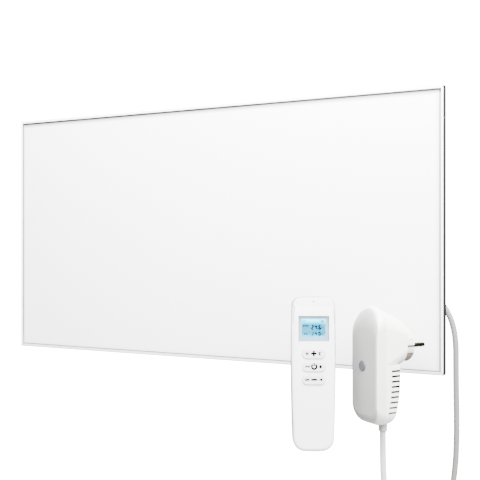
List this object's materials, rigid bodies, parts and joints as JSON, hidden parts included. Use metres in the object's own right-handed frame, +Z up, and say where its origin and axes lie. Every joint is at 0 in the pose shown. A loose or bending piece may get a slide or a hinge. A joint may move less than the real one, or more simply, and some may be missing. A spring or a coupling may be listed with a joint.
{
  "type": "infrared panel heater",
  "caption": "Slim white radiant panel heater for the wall, with a plug-in radio receiver on its mains cord and a hand-held thermostat remote.",
  "frame": {"origin": "middle of the four wall screws, on the wall's face", "axes": "-Y out of the wall towards the room, +X to the right as seen from the front, +Z up"},
  "size_m": [0.6183, 0.1574, 0.535],
  "materials": {
    "plate_coating": "satin white powder coat",
    "frame_coating": "satin white coat on an extruded bar",
    "bare_aluminium": "mill finish",
    "zinc_steel": "zinc plated",
    "film": "laminate",
    "copper": "bright strip",
    "foil": "bright foil",
    "insulation": "pressed mineral fibre board",
    "white_plastic": "fine matte",
    "black_plastic": "matte",
    "grey_plastic": "matte",
    "cord_sheath": "soft matte sheath",
    "lead_sheath": "matte",
    "casing": "low gloss",
    "button": "low gloss",
    "board": "solder mask",
    "relay": "low gloss",
    "capacitor": "low gloss",
    "plug_core": "matte",
    "nickel": "nickel plated brass",
    "lens": "clear window",
    "lcd": "backlit display",
    "led": "tinted",
    "key": "fine matte",
    "mat": "silicone",
    "cell": "printed sleeve"
  },
  "bodies": {
    "heater": {"front_plate": "plate_coating", "frame_top": "frame_coating", "frame_bottom": "frame_coating", "frame_left": "frame_coating", "frame_right": "frame_coating", "corner_keys": "bare_aluminium", "corner_screws": "zinc_steel", "heating_film": "film", "busbars": "copper", "reflector_foil": "foil", "insulation_board": "insulation", "back_plate": "bare_aluminium", "back_plate_rivets": "bare_aluminium", "hanger_hooks": "zinc_steel", "hook_rivets": "bare_aluminium", "wall_rail_upper": "zinc_steel", "wall_rail_lower": "zinc_steel", "junction_box_base": "white_plastic", "junction_box_lid": "white_plastic", "junction_box_screws": "zinc_steel", "terminal_block": "white_plastic", "thermal_cutout": "black_plastic", "cord_clamp": "grey_plastic", "earth_stud": "copper", "inner_leads": "lead_sheath", "cord_tail": "cord_sheath", "cable_gland": "white_plastic", "gland_nut": "white_plastic", "cord_boot": "cord_sheath", "cord_run_panel": "cord_sheath", "cord_coil": "cord_sheath", "cord_tie": "white_plastic", "cord_run_receiver": "cord_sheath", "receiver_front_cover": "casing", "receiver_rear_shell": "casing", "receiver_screws": "zinc_steel", "button_switch": "black_plastic", "receiver_board": "board", "relay": "relay", "capacitor": "capacitor", "plug_core": "plug_core", "plug_pins": "nickel", "earth_clips": "nickel", "receiver_boot": "cord_sheath", "remote_front_shell": "casing", "remote_rear_shell": "casing", "remote_screws": "zinc_steel", "lcd_lens": "lens", "lcd_module": "lcd", "remote_board": "board", "remote_led": "led", "keypad_mat": "mat", "batteries": "cell", "battery_contacts": "nickel"},
    "key_plus_body": {"key_plus": "key"},
    "key_power_body": {"key_power": "key"},
    "key_minus_body": {"key_minus": "key"},
    "receiver_button_body": {"receiver_button": "button"},
    "battery_door_body": {"battery_door": "casing"}
  },
  "joints": [
    {"name": "key_plus_push", "type": "slide", "parent": "heater", "child": "key_plus_body", "axis": [-0.4485, 0.8938, 0], "range_m": [0, 0.0008], "stiffness_N_per_m": 500},
    {"name": "key_power_push", "type": "slide", "parent": "heater", "child": "key_power_body", "axis": [-0.4485, 0.8938, 0], "range_m": [0, 0.0008], "stiffness_N_per_m": 500},
    {"name": "key_minus_push", "type": "slide", "parent": "heater", "child": "key_minus_body", "axis": [-0.4485, 0.8938, 0], "range_m": [0, 0.0008], "stiffness_N_per_m": 500},
    {"name": "receiver_button_push", "type": "slide", "parent": "heater", "child": "receiver_button_body", "axis": [0.585, 0.8111, 0], "range_m": [0, 0.0008], "stiffness_N_per_m": 500},
    {"name": "battery_door_slide", "type": "slide", "parent": "heater", "child": "battery_door_body", "axis": [0, 0, -1], "range_m": [0, 0.012]}
  ]
}
